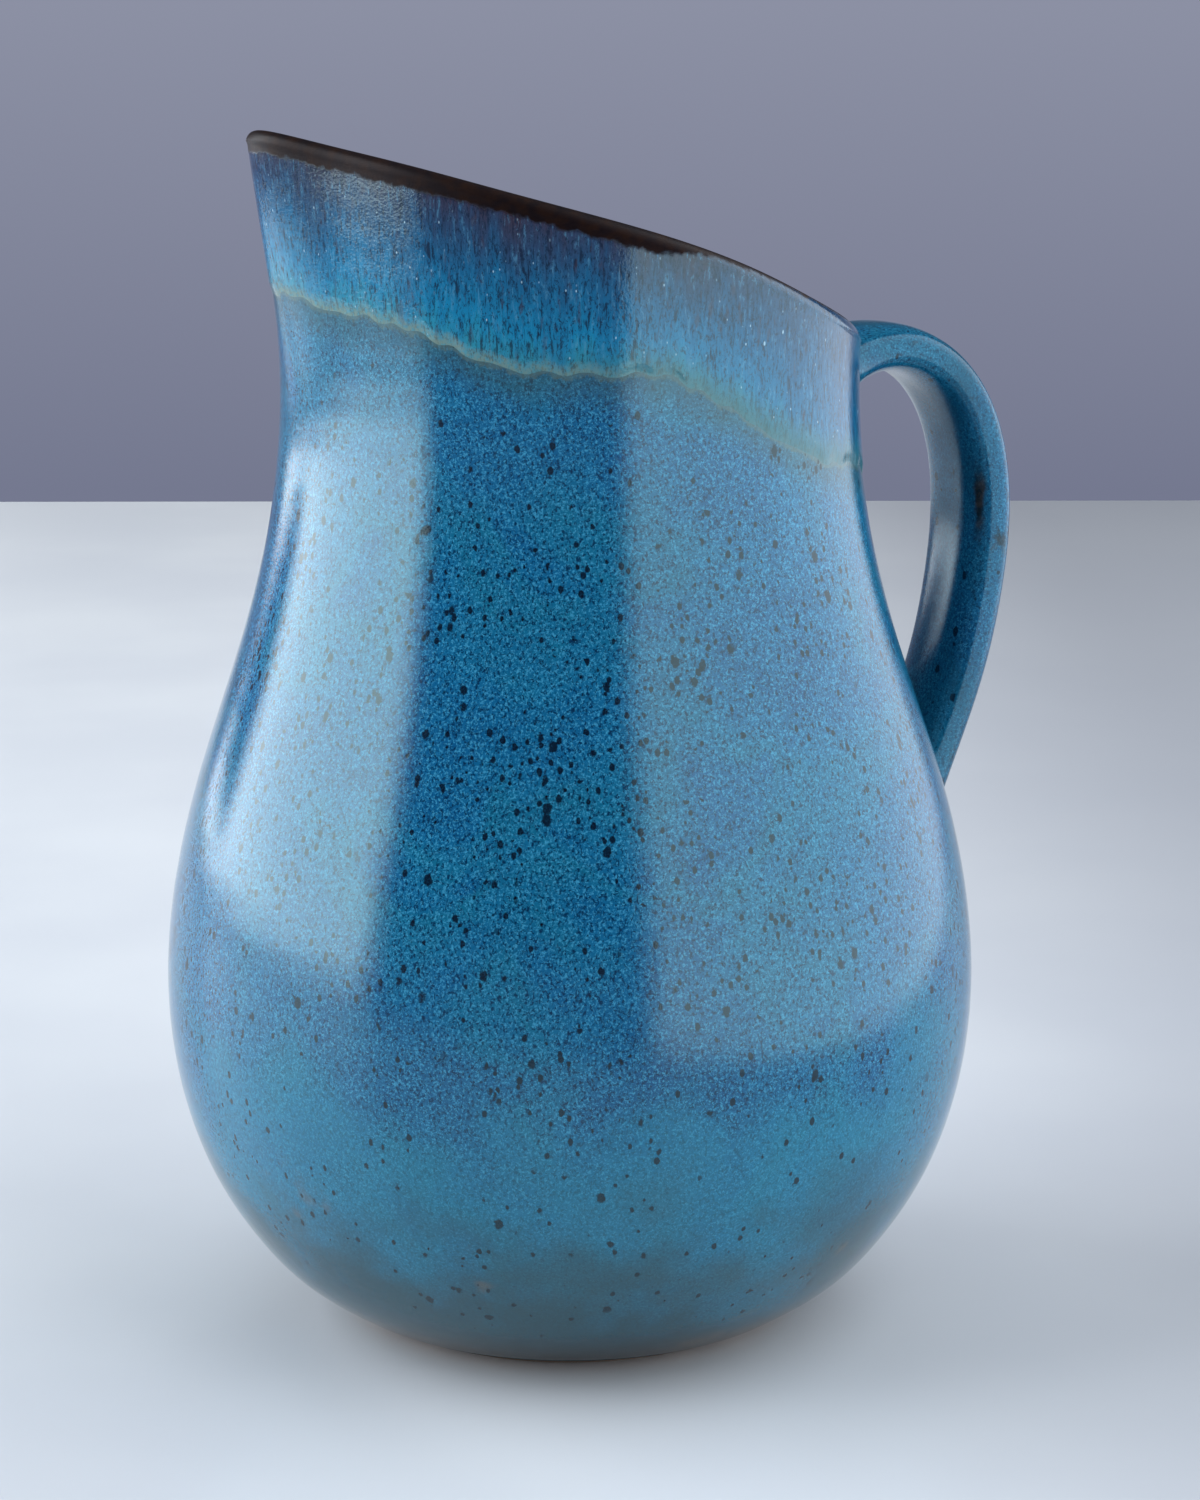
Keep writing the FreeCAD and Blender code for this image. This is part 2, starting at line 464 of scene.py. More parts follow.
def handle_ring(lines, length, coat):
    """One ring round the handle, and how far each point lies to the strap's side."""
    x, z, thickness, width = (float(line(length)) for line in lines)
    before, after = length - HANDLE_STEP, length + HANDLE_STEP
    ahead = [float(line(after)) - float(line(before)) for line in lines[:2]]
    along = np.array([ahead[0], 0, ahead[1]]) / math.hypot(*ahead)
    across = np.array([-along[2], 0, along[0]])
    turn = 2 * math.pi * np.arange(HANDLE_AROUND) / HANDLE_AROUND
    power = 2 / HANDLE_SQUARENESS
    out = np.sign(np.cos(turn)) * np.abs(np.cos(turn)) ** power
    side = np.sign(np.sin(turn)) * np.abs(np.sin(turn)) ** power
    ring = np.array([x, 0, z]) + np.outer(out * (thickness + coat), across)
    ring += np.outer(side * (width + coat), (0, 1, 0))
    # The glaze pools where the handle meets the wall, but not above the rim.
    near = np.clip(1 - body_gap(ring) / JOINT_REACH, 0, 1) ** 2
    swell = JOINT_SWELL * near * (1 - ease(ring[:, 2], SWELL_FULL, SWELL_GONE))
    ring += np.outer(out * swell, across) + np.outer(side * swell, (0, 1, 0))
    # No part of it goes through the wall: it ends a little below the surface.
    too_deep = np.minimum(body_gap(ring) + SUNK - coat, 0)
    shrink = 1 - too_deep / np.hypot(ring[:, 0], ring[:, 1])
    ring[:, :2] *= shrink[:, None]
    return ring, side


def make_handle_coat():
    """The handle's glaze, open inside for the clay strap, with both ends sunk in the wall."""
    total, lines = handle_lines()
    skins = []
    edges = []
    for coat in (-TRIM, -UNDERSIDE):
        for length in np.linspace(0, total, HANDLE_RINGS):
            ring, side = handle_ring(lines, length, coat)
            skins.append(ring)
            edges.append(np.abs(side))
    rings = skins[:HANDLE_RINGS] + skins[HANDLE_RINGS:][::-1]
    edge = edges[:HANDLE_RINGS] + edges[HANDLE_RINGS:][::-1]
    return ringed_mesh("handle_coat", rings, True, {"edge": edge})


# -------------------------------------------------------------- materials

class Paint:
    """A node material, with short calls for the nodes that the glazes are mixed from."""

    def __init__(self, name, roughness, ior=1.5, tint=(1.0, 1.0, 1.0)):
        self.material = bpy.data.materials.new(name)
        self.material.use_nodes = True
        self.tree = self.material.node_tree
        self.shader = self.tree.nodes["Principled BSDF"]
        self.shader.inputs["Roughness"].default_value = roughness
        self.shader.inputs["IOR"].default_value = ior
        self.shader.inputs["Specular Tint"].default_value = (*tint, 1)
        self.place = self.tree.nodes.new("ShaderNodeTexCoord").outputs["Object"]

    def give(self, socket, value):
        """Feeds a socket with another node's output or with a plain value."""
        if isinstance(value, bpy.types.NodeSocket):
            self.tree.links.new(value, socket)
        else:
            socket.default_value = value

    def stretched(self, stretch):
        """The place with each axis scaled, which draws a pattern out along a small one."""
        node = self.tree.nodes.new("ShaderNodeMapping")
        self.give(node.inputs["Vector"], self.place)
        node.inputs["Scale"].default_value = stretch
        return node.outputs["Vector"]

    def noise(self, size, detail=2.0, stretch=(1, 1, 1), twist=0.0, rough=0.5):
        """Noise in patches about size millimetres across, and rough gives its fine detail more say."""
        node = self.tree.nodes.new("ShaderNodeTexNoise")
        self.give(node.inputs["Vector"], self.stretched(stretch))
        node.inputs["Scale"].default_value = 1 / (size * MM)
        node.inputs["Detail"].default_value = detail
        node.inputs["Roughness"].default_value = rough
        node.inputs["Distortion"].default_value = twist
        return node.outputs["Fac"]

    def cells(self, size, stretch=(1, 1, 1)):
        """Distance from the middle of scattered cells, and two random numbers for each cell."""
        node = self.tree.nodes.new("ShaderNodeTexVoronoi")
        self.give(node.inputs["Vector"], self.stretched(stretch))
        node.inputs["Scale"].default_value = 1 / (size * MM)
        split = self.tree.nodes.new("ShaderNodeSeparateColor")
        self.give(split.inputs["Color"], node.outputs["Color"])
        return node.outputs["Distance"], split.outputs["Red"], split.outputs["Green"]

    def mark(self, name):
        """A number that the mesh holds for each of its points."""
        node = self.tree.nodes.new("ShaderNodeAttribute")
        node.attribute_name = name
        return node.outputs["Fac"]

    def axis(self, letter):
        """X, Y or Z of the place, in metres."""
        node = self.tree.nodes.new("ShaderNodeSeparateXYZ")
        self.give(node.inputs["Vector"], self.place)
        return node.outputs[letter]

    def along(self, direction):
        """How far a place lies along a direction from the origin."""
        node = self.tree.nodes.new("ShaderNodeVectorMath")
        node.operation = "DOT_PRODUCT"
        self.give(node.inputs[0], self.place)
        node.inputs[1].default_value = direction
        return node.outputs["Value"]

    def sum(self, operation, a, b=0.0):
        """One step of arithmetic on two values."""
        node = self.tree.nodes.new("ShaderNodeMath")
        node.operation = operation
        self.give(node.inputs[0], a)
        self.give(node.inputs[1], b)
        return node.outputs["Value"]

    def push(self, pattern, strength):
        """A pattern from 0 to 1 as a push either way, by half the strength at most."""
        return self.sum("MULTIPLY", self.sum("SUBTRACT", pattern, 0.5), strength)

    def level(self, value, low, high, start=0.0, end=1.0):
        """Smoothly from start to end as the value goes from low to high."""
        node = self.tree.nodes.new("ShaderNodeMapRange")
        node.interpolation_type = "SMOOTHSTEP"
        numbers = (value, low, high, start, end)
        for name, number in zip(("Value", "From Min", "From Max", "To Min", "To Max"), numbers):
            self.give(node.inputs[name], number)
        return node.outputs["Result"]

    def ramp(self, value, *stops):
        """Colours along a value: each stop is its place and its colour."""
        node = self.tree.nodes.new("ShaderNodeValToRGB")
        points = node.color_ramp.elements
        while len(points) < len(stops):
            points.new(1.0)
        for stop, (place, colour) in zip(points, stops):
            stop.position = place
            stop.color = (*colour, 1)
        self.give(node.inputs["Fac"], value)
        return node.outputs["Color"]

    def mix(self, share, a, b):
        """Colour a, with a share of colour b in it."""
        node = self.tree.nodes.new("ShaderNodeMix")
        node.data_type = "RGBA"
        sockets = {s.identifier: s for s in node.inputs}
        for name, value in (("Factor_Float", share), ("A_Color", a), ("B_Color", b)):
            self.give(sockets[name], (*value, 1) if isinstance(value, tuple) else value)
        return next(s for s in node.outputs if s.identifier == "Result_Color")

    def bump(self, height, depth, below=None):
        """A relief of depth millimetres, on top of another one."""
        node = self.tree.nodes.new("ShaderNodeBump")
        node.inputs["Strength"].default_value = 1.0
        node.inputs["Distance"].default_value = depth * MM
        self.give(node.inputs["Height"], height)
        if below:
            self.give(node.inputs["Normal"], below)
        return node.outputs["Normal"]

    def finish(self, colour, roughness=None, normal=None):
        """Feeds the shader and returns the finished material."""
        self.give(self.shader.inputs["Base Color"], colour)
        if roughness:
            self.give(self.shader.inputs["Roughness"], roughness)
        if normal:
            self.give(self.shader.inputs["Normal"], normal)
        return self.material


# How strongly the glazes mirror, the tint of their mirror and their roughness.
GLAZE_IOR = 1.6
GLAZE_TINT = (0.66, 0.92, 0.90)
HANDLE_IOR = 1.46
HANDLE_TINT = (0.50, 0.82, 0.92)
BARE_TINT = (0.05, 0.03, 0.03)
BODY_ROUGHNESS = 0.055
RIM_ROUGHNESS = 0.06
HANDLE_ROUGHNESS = 0.08
LINER_ROUGHNESS = 0.12
BARE_ROUGHNESS = 0.45

# Depths of the glaze's relief in millimetres.
PEEL_DEPTH = 0.035
CRYSTAL_DEPTH = 0.026
HAIR_DEPTH = 0.02

# Colours in the blue glaze.
CLOUD_BLUE = (0.006, 0.128, 0.262)
LIGHT_CRYSTAL = (0.045, 0.290, 0.470)
DARK_CRYSTAL = (0.001, 0.018, 0.058)
IRON_BLACK = (0.001, 0.006, 0.018)
BELLY_BLUE = (0.012, 0.185, 0.290)
# Grey-green of the thin glaze over the foot, darkened with painted shade.
FOOT_GREY_AND_SHADE = (0.020, 0.054, 0.070)
# Near-black painted contact shade where the foot meets the table.
FOOT_CONTACT_SHADE = (0.006, 0.012, 0.018)
WORN_BROWN = (0.115, 0.085, 0.062)
EDGE_SHADE = (0.030, 0.072, 0.085)
FRINGE_GREEN = (0.085, 0.130, 0.110)
HANDLE_BLUE = (0.003, 0.046, 0.088)
POOLED_BLUE = (0.006, 0.040, 0.090)

# Colours in the rim glaze.
DARK_HAIR = (0.003, 0.010, 0.030)
LIGHT_HAIR = (0.070, 0.235, 0.370)
DARK_SPECK = (0.004, 0.014, 0.040)
RUST = (0.040, 0.026, 0.040)
WHITE_CRYSTAL = (0.36, 0.55, 0.66)
SIDE_BLUE = (0.005, 0.070, 0.165)
LINE_GREEN = (0.036, 0.115, 0.125)
LINE_PALE = (0.135, 0.185, 0.145)

# The break in the handle's glaze: the height of its middle, and pairs of
# distances in metres at which it is gone and at which it is full.
BREAK_HEIGHT = 0.168
BREAK_ENDS = (0.011, 0.002)
BREAK_INNER = (0.0940, 0.0922)
BREAK_FRONT = (-0.0088, -0.0105)

# Width in millimetres of the bare lip on the spout's side and on the handle's.
BARE_WIDE = 4.0
BARE_NARROW = 1.2


def grain(paint, colour, light, dark):
    """The fine light and dark crystals all through the glaze, and their pattern."""
    fine = paint.noise(0.5, 3.0, rough=0.8)
    colour = paint.mix(paint.level(fine, 0.49, 0.62, 0, 0.80), colour, light)
    specks = paint.noise(0.65, 3.0, (1, 1, 0.8), 0.4, rough=0.8)
    return paint.mix(paint.level(specks, 0.51, 0.38, 0, 0.95), colour, dark), fine


def iron_spots(paint, colour, size, present, thickness):
    """Dark ragged spots where iron in the clay has burnt through the glaze.

    size is the distance between them in millimetres, present is the share of
    them that show, and thickness is their radius as a share of the size.
    """
    distance, chance, spread = paint.cells(size, (1, 1, 0.7))
    reach = paint.sum("MULTIPLY", paint.level(spread, 0, 1, 0.45, 1.0), thickness)
    ragged = paint.sum("ADD", distance, paint.push(paint.noise(0.8, 3.0, rough=0.7), 0.35))
    spot = paint.level(paint.sum("SUBTRACT", ragged, reach), 0.06, -0.04)
    chosen = paint.level(chance, present, paint.sum("ADD", present, 0.03), 1, 0)
    spot = paint.sum("MULTIPLY", spot, chosen)
    return paint.mix(paint.sum("MULTIPLY", spot, 0.94), colour, IRON_BLACK)


def blue_colour(paint):
    """The speckled blue that is on the belly, the neck and the handle."""
    patches = paint.ramp(
        paint.noise(30, 3.0, (1, 1, 1), 0.6),
        (0.30, (0.002, 0.060, 0.172)),
        (0.46, (0.003, 0.086, 0.205)),
        (0.58, (0.005, 0.112, 0.200)),
        (0.70, (0.002, 0.074, 0.200)),
    )
    cloud = paint.level(paint.noise(6, 4.0), 0.32, 0.68)
    colour = paint.mix(paint.sum("MULTIPLY", cloud, 0.4), patches, CLOUD_BLUE)
    return grain(paint, colour, LIGHT_CRYSTAL, DARK_CRYSTAL)


def glossy_relief(paint, fine):
    """Skin of a melted glaze: a slight orange peel with the crystals just standing proud."""
    peel = paint.bump(paint.noise(4.5, 1.0), PEEL_DEPTH)
    return paint.bump(fine, CRYSTAL_DEPTH, peel)


def blue_glaze():
    """The speckled glaze of the outside wall."""
    paint = Paint("blue_glaze", BODY_ROUGHNESS, GLAZE_IOR, GLAZE_TINT)
    colour, fine = blue_colour(paint)
    height = paint.axis("Z")
    # Thick and pale low on the belly. Over the foot the colour turns grey-green, partly the thin glaze's
    # own colour and partly painted shade, and painted contact shade makes its last few millimetres
    # near-black.
    low = paint.sum("ADD", height, paint.level(paint.noise(22, 3.0), 0.3, 0.7, -0.012, 0.012))
    colour = paint.mix(paint.level(low, 0.080, 0.045, 0, 0.45), colour, BELLY_BLUE)
    colour = paint.mix(paint.level(low, 0.050, 0.010, 0, 0.88), colour, FOOT_GREY_AND_SHADE)
    # Painted contact shade over the last few millimetres above the table.
    colour = paint.mix(paint.level(height, 0.016, 0.004, 0, 0.85), colour, FOOT_CONTACT_SHADE)
    # It is worn through to the clay in a few places by the foot.
    worn = paint.level(paint.noise(17, 3.0), 0.66, 0.74)
    worn = paint.sum("MULTIPLY", worn, paint.level(height, 0.055, 0.03))
    colour = paint.mix(paint.sum("MULTIPLY", worn, 0.6), colour, WORN_BROWN)
    # The blue turns dull and green just below the rim glaze's edge.
    edge = paint.mark("above_edge")
    colour = paint.mix(paint.level(edge, -9.0, 0.0, 0, 0.55), colour, EDGE_SHADE)
    fringe = paint.sum("ADD", edge, paint.sum("MULTIPLY", paint.noise(1.6, 4.0, rough=0.7), 3.4))
    colour = paint.mix(paint.level(fringe, 0.9, 1.7, 0, 0.5), colour, FRINGE_GREEN)
    # Iron spots crowd in patches on the belly and the shoulder.
    crowd = paint.level(paint.noise(17, 2.0), 0.44, 0.58, 0.10, 0.80)
    crowd = paint.sum("MULTIPLY", crowd, paint.level(height, 0.205, 0.180))
    crowd = paint.sum("MULTIPLY", crowd, paint.level(height, 0.05, 0.10, 0.3, 1))
    colour = iron_spots(paint, colour, 1.8, crowd, 0.33)
    colour = iron_spots(paint, colour, 3.3, paint.sum("MULTIPLY", crowd, 0.6), 0.27)
    return paint.finish(colour, normal=glossy_relief(paint, fine))


def handle_break(paint):
    """One long bare streak on the inner corner of the strap, on the side of -Y."""
    ragged = paint.push(paint.noise(3.0, 3.0, (1, 1, 0.4)), 0.004)
    from_middle = paint.sum("ABSOLUTE", paint.sum("SUBTRACT", paint.axis("Z"), BREAK_HEIGHT))
    ends = paint.level(from_middle, *BREAK_ENDS)
    inner = paint.level(paint.sum("ADD", paint.axis("X"), ragged), *BREAK_INNER)
    front = paint.level(paint.sum("ADD", paint.axis("Y"), ragged), *BREAK_FRONT)
    return paint.sum("MULTIPLY", ends, paint.sum("MULTIPLY", inner, front))


def handle_glaze():
    """The thinner blue glaze of the handle."""
    paint = Paint("handle_glaze", HANDLE_ROUGHNESS, HANDLE_IOR, HANDLE_TINT)
    colour, fine = blue_colour(paint)
    # Thinner than on the body, so that the dark clay greens it.
    thin = paint.level(paint.noise(15, 3.0, (1, 1, 0.5)), 0.3, 0.7, 0.30, 0.75)
    colour = paint.mix(thin, colour, HANDLE_BLUE)
    colour = iron_spots(paint, colour, 2.6, 0.2, 0.3)
    # It broke on the strap's two edges and shows the fired clay there.
    edge = paint.level(paint.mark("edge"), 0.93, 0.995)
    torn = paint.level(paint.noise(9, 4.0, rough=0.6), 0.62, 0.72)
    brown = paint.ramp(paint.noise(2.0, 3.0), (0.4, (0.004, 0.004, 0.005)), (0.7, (0.040, 0.026, 0.018)))
    colour = paint.mix(paint.sum("MULTIPLY", edge, paint.sum("MULTIPLY", torn, 0.8)), colour, brown)
    colour = paint.mix(handle_break(paint), colour, brown)
    return paint.finish(colour, normal=glossy_relief(paint, fine))


def streaks(paint, colour):
    """Dark, light and brown hairs that ran down while the glaze was liquid, and their pattern."""
    hair = paint.noise(0.8, 4.0, (1, 1, 0.2), 0.4, rough=0.75)
    colour = paint.mix(paint.level(hair, 0.48, 0.36, 0, 0.85), colour, DARK_HAIR)
    colour = paint.mix(paint.level(hair, 0.54, 0.68, 0, 0.50), colour, LIGHT_HAIR)
    specks = paint.noise(0.55, 3.0, (1, 1, 0.5), 0.2, rough=0.8)
    colour = paint.mix(paint.level(specks, 0.48, 0.36, 0, 0.8), colour, DARK_SPECK)
    rust = paint.noise(1.6, 3.0, (1, 1, 0.3), 0.3)
    return paint.mix(paint.level(rust, 0.60, 0.72, 0, 0.45), colour, RUST), hair


def sparkles(paint, colour, down):
    """White crystals scattered over the lower part of the band."""
    for size, present in ((0.9, 0.11), (1.6, 0.06)):
        distance, chance, _ = paint.cells(size, (1, 1, 0.55))
        chosen = paint.level(chance, present, present + 0.02, 1, 0)
        dot = paint.sum("MULTIPLY", paint.level(distance, 0.20, 0.10), chosen)
        dot = paint.sum("MULTIPLY", dot, paint.level(down, 0.05, 0.35, 0.15, 1))
        colour = paint.mix(paint.sum("MULTIPLY", dot, 0.7), colour, WHITE_CRYSTAL)
    return colour


def rim_glaze():
    """The streaked glaze of the rim, from its bare lip down to its pale edge."""
    paint = Paint("rim_glaze", RIM_ROUGHNESS, GLAZE_IOR, GLAZE_TINT)
    fall = paint.mark("below_rim")
    edge = paint.mark("above_edge")
    streak = paint.noise(1.1, 4.0, (1, 1, 0.16), rough=0.65)
    broad = paint.noise(4.5, 3.0, (1, 1, 0.12))
    across = paint.axis("X")
    # How far down the band, from 0 at the rim to 1 at the pale edge.
    down = paint.sum("DIVIDE", fall, paint.sum("ADD", fall, paint.sum("MAXIMUM", edge, 0.01)))
    run = paint.sum("ADD", down, paint.push(broad, 0.5))
    run = paint.sum("ADD", run, paint.push(streak, 0.35))
    colour = paint.ramp(
        run,
        (0.05, (0.032, 0.022, 0.040)),
        (0.26, (0.018, 0.046, 0.105)),
        (0.52, (0.006, 0.098, 0.215)),
        (0.78, (0.004, 0.165, 0.320)),
        (0.97, (0.016, 0.225, 0.330)),
    )
    colour = paint.mix(paint.level(across, -0.012, 0.030, 0, 0.6), colour, SIDE_BLUE)
    colour, hair = streaks(paint, colour)
    colour = sparkles(paint, colour, down)
    # The dull line where the two glazes met, soft and green on the handle's side.
    line = paint.sum("ADD", edge, paint.push(paint.noise(1.1, 4.0, rough=0.75), 4.2))
    green = paint.level(across, -0.045, 0.005, 0.15, 0.65)
    green = paint.sum("MULTIPLY", paint.level(line, 8.0, 1.0), green)
    colour = paint.mix(green, colour, LINE_GREEN)
    broken = paint.level(paint.noise(0.9, 3.0), 0.35, 0.55, 0.4, 1)
    pale = paint.sum("MULTIPLY", paint.level(line, 3.2, 0.2), broken)
    pale = paint.sum("MULTIPLY", pale, paint.level(across, -0.045, 0.008, 0.80, 0.15))
    colour = paint.mix(pale, colour, LINE_PALE)
    # Bare dark brown where the glaze broke over the rim.
    width = paint.level(across, -0.012, 0.004, BARE_WIDE, BARE_NARROW)
    ragged = paint.sum("ADD", fall, paint.push(paint.noise(2.0, 3.0), 2.4))
    bare = paint.level(paint.sum("SUBTRACT", ragged, width), 0.6, -0.5)
    brown = paint.ramp(paint.noise(2.4, 3.0), (0.4, (0.006, 0.004, 0.005)), (0.75, (0.016, 0.007, 0.004)))
    colour = paint.mix(bare, colour, brown)
    rough = paint.level(bare, 0.0, 1.0, RIM_ROUGHNESS, BARE_ROUGHNESS)
    paint.give(paint.shader.inputs["Specular Tint"], paint.mix(bare, GLAZE_TINT, BARE_TINT))
    relief = paint.bump(hair, HAIR_DEPTH, glossy_relief(paint, paint.noise(0.55, 3.0)))
    return paint.finish(colour, rough, relief)


def liner_glaze():
    """The blue glaze inside, darker where it pooled on the floor."""
    paint = Paint("liner_glaze", LINER_ROUGHNESS, GLAZE_IOR, GLAZE_TINT)
    colour, fine = blue_colour(paint)
    pooled = paint.level(paint.axis("Z"), 0.03, 0.008)
    colour = paint.mix(paint.sum("MULTIPLY", pooled, 0.5), colour, POOLED_BLUE)
    return paint.finish(colour, normal=glossy_relief(paint, fine))


CLAY_COLOURS = ((0.30, 0.21, 0.15), (0.20, 0.13, 0.09))
SLIP_COLOURS = ((0.33, 0.24, 0.17), (0.25, 0.17, 0.12))
SAND_BROWN = (0.06, 0.04, 0.03)
SAND_DEPTH = 0.08


def fired_clay(name, light, dark):
    """Bare fired clay with sand in it."""
    paint = Paint(name, roughness=0.85)
    sand = paint.noise(0.5, 4.0)
    colour = paint.mix(paint.level(paint.noise(9, 3.0), 0.3, 0.7), light, dark)
    colour = paint.mix(paint.level(sand, 0.6, 0.75, 0, 0.6), colour, SAND_BROWN)
    return paint.finish(colour, paint.level(sand, 0.3, 0.7, 0.75, 0.95), paint.bump(sand, SAND_DEPTH))


# ----------------------------------------------------------------- pieces

def dress(piece, material):
    """Gives a piece one material."""
    piece.data.materials.clear()
    piece.data.materials.append(material)


def add_coats():
    """The glaze coats in full detail, each in place of its plain CAD node."""
    coats = [
        (make_outer_coat(), "outer_glaze", "blue_glaze", blue_glaze()),
        (make_rim_coat(), "rim_glaze", "rim_glaze", rim_glaze()),
        (make_inner_coat(), "liner_glaze", "liner_glaze", liner_glaze()),
        (make_handle_coat(), "handle_glaze", "blue_glaze", handle_glaze()),
    ]
    for piece, node, slot, material in coats:
        dress(piece, material)
        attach(piece, "root")
        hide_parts(node)


def dress_clay():
    """The clay body, the handle and their slip keep their CAD shapes."""
    clay = fired_clay("stoneware", *CLAY_COLOURS)
    slip = fired_clay("slip", *SLIP_COLOURS)
    for node in ("body", "handle"):
        dress(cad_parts[node], clay)
    for node in ("upper_slip_joint", "lower_slip_joint"):
        dress(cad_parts[node], slip)


# ------------------------------------------------------------------ studio

# The camera, in metres, as it was found from the photograph's outline.
VIEW_TURN = math.radians(-25.0)
VIEW_YAW = math.radians(0.483)
VIEW_PITCH = math.radians(11.561)
CAMERA_DISTANCE = 0.750
CAMERA_HEIGHT = 0.273
CAMERA_LENS = 87.555
SENSOR_WIDTH = 36.0
TOWARD_SCENE = Vector((-math.sin(VIEW_TURN), math.cos(VIEW_TURN), 0))

# How far the table reaches from the pitcher, in metres, and its colours.
TABLE_BEHIND = 1.28
TABLE_IN_FRONT = 0.55
TABLE_RIGHT = 0.60
TABLE_LEFT = 1.05
TABLE_CLOUDS = ((0.58, 0.62, 0.67), (0.64, 0.68, 0.72))
TABLE_PALER = (0.70, 0.74, 0.78)
# Colour of the painted shadow on the table's right.
TABLE_PAINTED_SHADOW = (0.28, 0.30, 0.34)

# The room's colours from below to overhead. A place is the sine of the angle
# above level, plus a half.
LEVEL_PLACE = 0.5
ROOM_STOPS = (
    (0.37, (0.175, 0.190, 0.275)),
    (0.50, (0.262, 0.280, 0.370)),
    (0.66, (0.050, 0.053, 0.070)),
)

# The top light, in metres and watts, and the colour of the softboxes.
TOP_LIGHT_SIZE = 1.6
TOP_LIGHT_POWER = 12.0
TOP_LIGHT_BEHIND = 1.0
TOP_LIGHT_HEIGHT = 1.3
LIGHT_COLOUR = (0.96, 0.99, 1.03)


def add_camera():
    """The photograph's view."""
    camera = bpy.data.objects.new("camera", bpy.data.cameras.new("camera"))
    camera.data.lens = CAMERA_LENS
    camera.data.sensor_width = SENSOR_WIDTH
    camera.data.clip_start = 0.01
    camera.location = -CAMERA_DISTANCE * TOWARD_SCENE + Vector((0, 0, CAMERA_HEIGHT))
    look = Matrix.Rotation(-VIEW_YAW, 3, "Z") @ TOWARD_SCENE
    look = look * math.cos(VIEW_PITCH) - Vector((0, 0, math.sin(VIEW_PITCH)))
    camera.rotation_euler = look.to_track_quat("-Z", "Y").to_euler()
    bpy.context.scene.collection.objects.link(camera)
    bpy.context.scene.camera = camera


def add_table():
    """A pale table top, paler on the left of the pitcher, with a painted shadow darkening it on its
    right.
    """
    side = TOWARD_SCENE.cross(Vector((0, 0, 1)))
    corners = [
        TOWARD_SCENE * depth + side * across
        for depth, across in (
            (-TABLE_IN_FRONT, -TABLE_LEFT),
            (-TABLE_IN_FRONT, TABLE_RIGHT),
            (TABLE_BEHIND, TABLE_RIGHT),
            (TABLE_BEHIND, -TABLE_LEFT),
        )
    ]
    mesh = bpy.data.meshes.new("table")
    mesh.from_pydata(corners, [], [(0, 1, 2, 3)])
    table = bpy.data.objects.new("table", mesh)
    bpy.context.scene.collection.objects.link(table)
    paint = Paint("pale_table", 0.4)
    cloudy = paint.level(paint.noise(160, 3.0), 0.3, 0.7)
    pale = paint.mix(cloudy, *TABLE_CLOUDS)
    across = paint.along(side)
    pale = paint.mix(paint.level(across, -0.20, -0.45), pale, TABLE_PALER)
    # Painted shadow over the table's right side.
    pale = paint.mix(paint.level(across, -0.02, 0.26, 0, 0.85), pale, TABLE_PAINTED_SHADOW)
    dress(table, paint.finish(pale))


def add_room():
    """A plain lavender-grey room, lighter above the table and dark overhead."""
    world = bpy.data.worlds.new("room")
    world.use_nodes = True
    bpy.context.scene.world = world
    tree = world.node_tree
    back = tree.nodes["Background"]
    split = tree.nodes.new("ShaderNodeSeparateXYZ")
    tree.links.new(tree.nodes.new("ShaderNodeTexCoord").outputs["Generated"], split.inputs["Vector"])
    shift = tree.nodes.new("ShaderNodeMath")
    shift.operation = "ADD"
    shift.inputs[1].default_value = LEVEL_PLACE
    tree.links.new(split.outputs["Z"], shift.inputs[0])
    ramp = tree.nodes.new("ShaderNodeValToRGB")
    tree.links.new(shift.outputs["Value"], ramp.inputs["Fac"])
    stops = ramp.color_ramp.elements
    while len(stops) < len(ROOM_STOPS):
        stops.new(1.0)
    for stop, (place, colour) in zip(stops, ROOM_STOPS):
        stop.position = place
        stop.color = (*colour, 1)
    tree.links.new(ramp.outputs["Color"], back.inputs["Color"])


def fade_softbox(light, along, dim_place, full_place, dim):
    """Dims a softbox towards one side.

    along is X across it or Y up it, and the places go from 0 to 1 along it.
    """
    light.use_nodes = True
    tree = light.node_tree
    split = tree.nodes.new("ShaderNodeSeparateXYZ")
    tree.links.new(tree.nodes.new("ShaderNodeNewGeometry").outputs["Parametric"], split.inputs["Vector"])
    share = tree.nodes.new("ShaderNodeMapRange")
    share.interpolation_type = "SMOOTHSTEP"
    numbers = (("From Min", dim_place), ("From Max", full_place), ("To Min", dim), ("To Max", 1.0))
    for name, number in numbers:
        share.inputs[name].default_value = number
    tree.links.new(split.outputs[along], share.inputs["Value"])
    tree.links.new(share.outputs["Result"], tree.nodes["Emission"].inputs["Strength"])


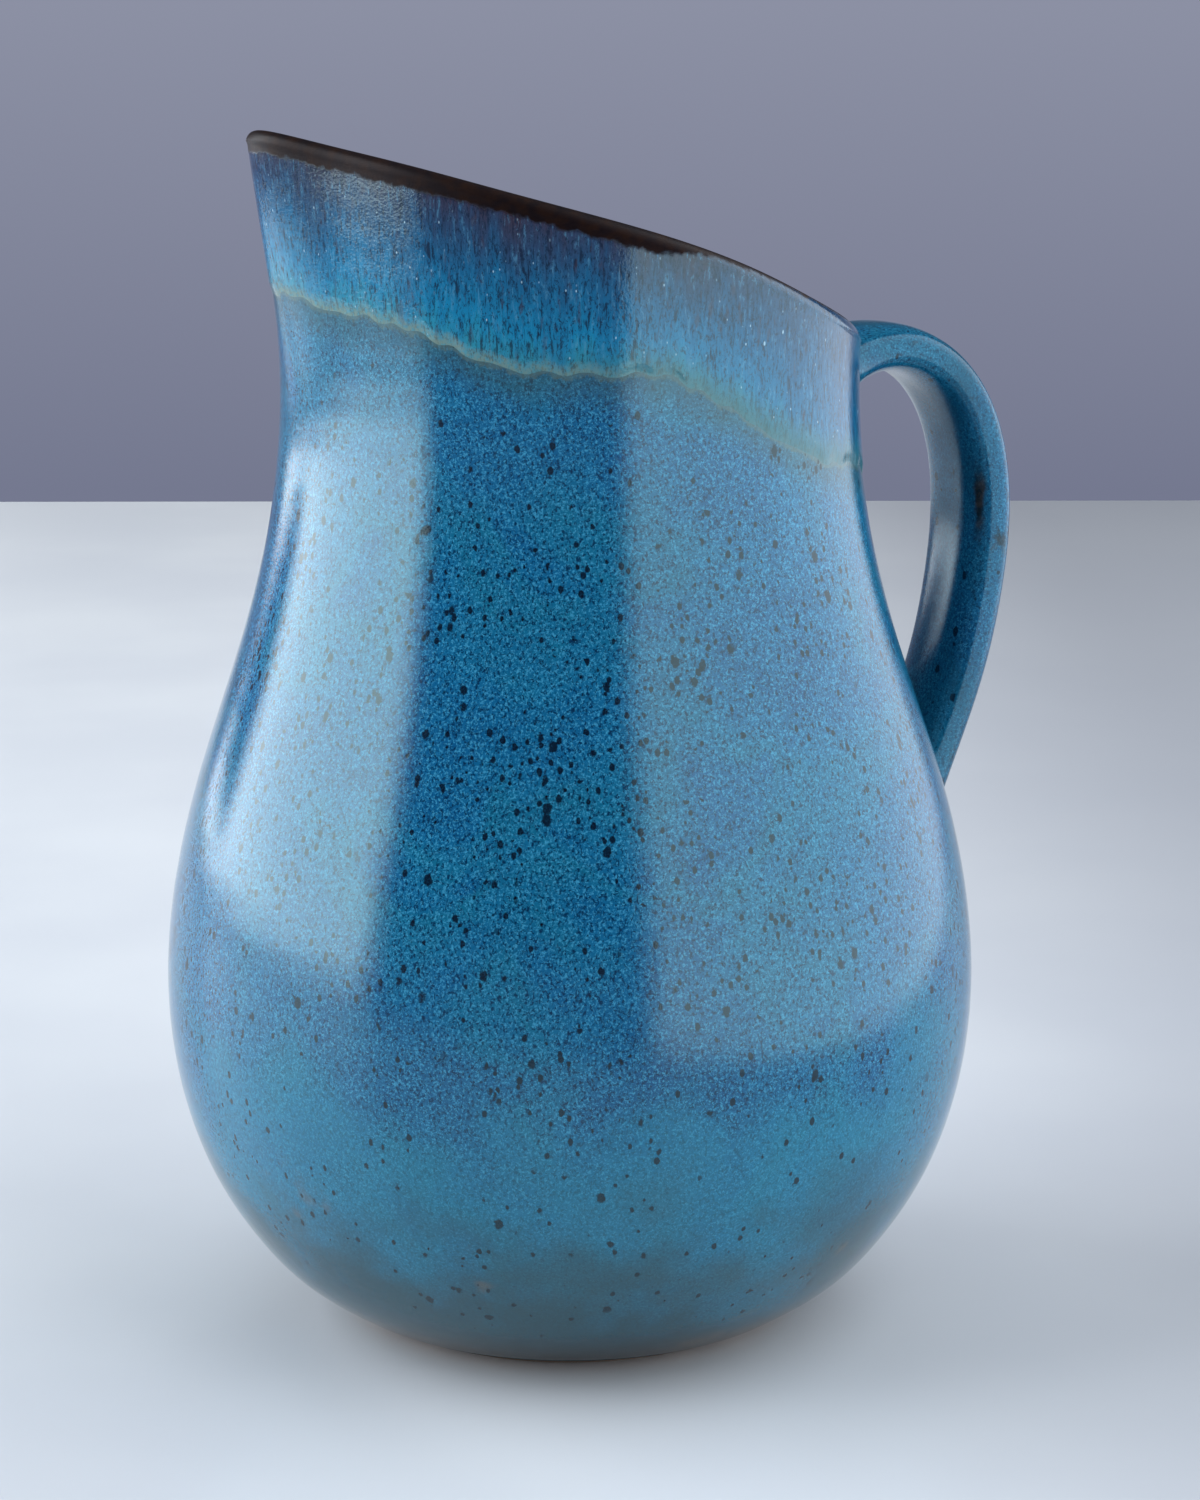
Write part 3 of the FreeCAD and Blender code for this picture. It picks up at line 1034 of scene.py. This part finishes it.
def add_softbox(name, turn, distance, left, right, bottom, top, power):
    """A softbox standing upright, in metres and in watts a square metre.

    turn is how far round the pitcher it stands from the camera, in degrees to
    the camera's right. left and right are its ends as it faces the pitcher.
    """
    light = bpy.data.lights.new(name, "AREA")
    light.shape = "RECTANGLE"
    light.size = right - left
    light.size_y = top - bottom
    light.energy = power * light.size * light.size_y
    light.color = LIGHT_COLOUR
    lamp = bpy.data.objects.new(name, light)
    out = Matrix.Rotation(math.radians(turn), 3, "Z") @ -TOWARD_SCENE
    along = Vector((0, 0, 1)).cross(out)
    lamp.location = out * distance + along * (left + right) / 2 + Vector((0, 0, (bottom + top) / 2))
    lamp.rotation_euler = out.to_track_quat("Z", "Y").to_euler()
    lamp.visible_camera = False
    bpy.context.scene.collection.objects.link(lamp)
    return light


def add_top_light():
    """Lights the far part of the table from above, and leaves no reflection."""
    light = bpy.data.lights.new("top_light", "AREA")
    light.size = TOP_LIGHT_SIZE
    light.energy = TOP_LIGHT_POWER
    lamp = bpy.data.objects.new("top_light", light)
    lamp.location = TOWARD_SCENE * TOP_LIGHT_BEHIND + Vector((0, 0, TOP_LIGHT_HEIGHT))
    lamp.visible_camera = False
    lamp.visible_glossy = False
    bpy.context.scene.collection.objects.link(lamp)


def add_softboxes():
    """A near one on the right, a large far one on the left and a low strip beside that."""
    right_light = add_softbox(
        "right_softbox", turn=66, distance=0.36, left=-0.36, right=1.60, bottom=0.0, top=1.3, power=6.9
    )
    fade_softbox(right_light, "X", dim_place=0.75, full_place=0.20, dim=0.55)
    left_light = add_softbox(
        "left_softbox", turn=-88, distance=1.60, left=-1.09, right=0.96, bottom=-0.07, top=2.2, power=16.5
    )
    fade_softbox(left_light, "Y", dim_place=0.0, full_place=0.085, dim=0.0)
    add_softbox(
        "low_softbox", turn=-88, distance=1.60, left=-2.30, right=-1.09, bottom=0.0, top=0.08, power=17.5
    )


add_camera()
add_coats()
dress_clay()
add_table()
add_room()
add_softboxes()
add_top_light()
bpy.context.scene.view_settings.view_transform = "Standard"
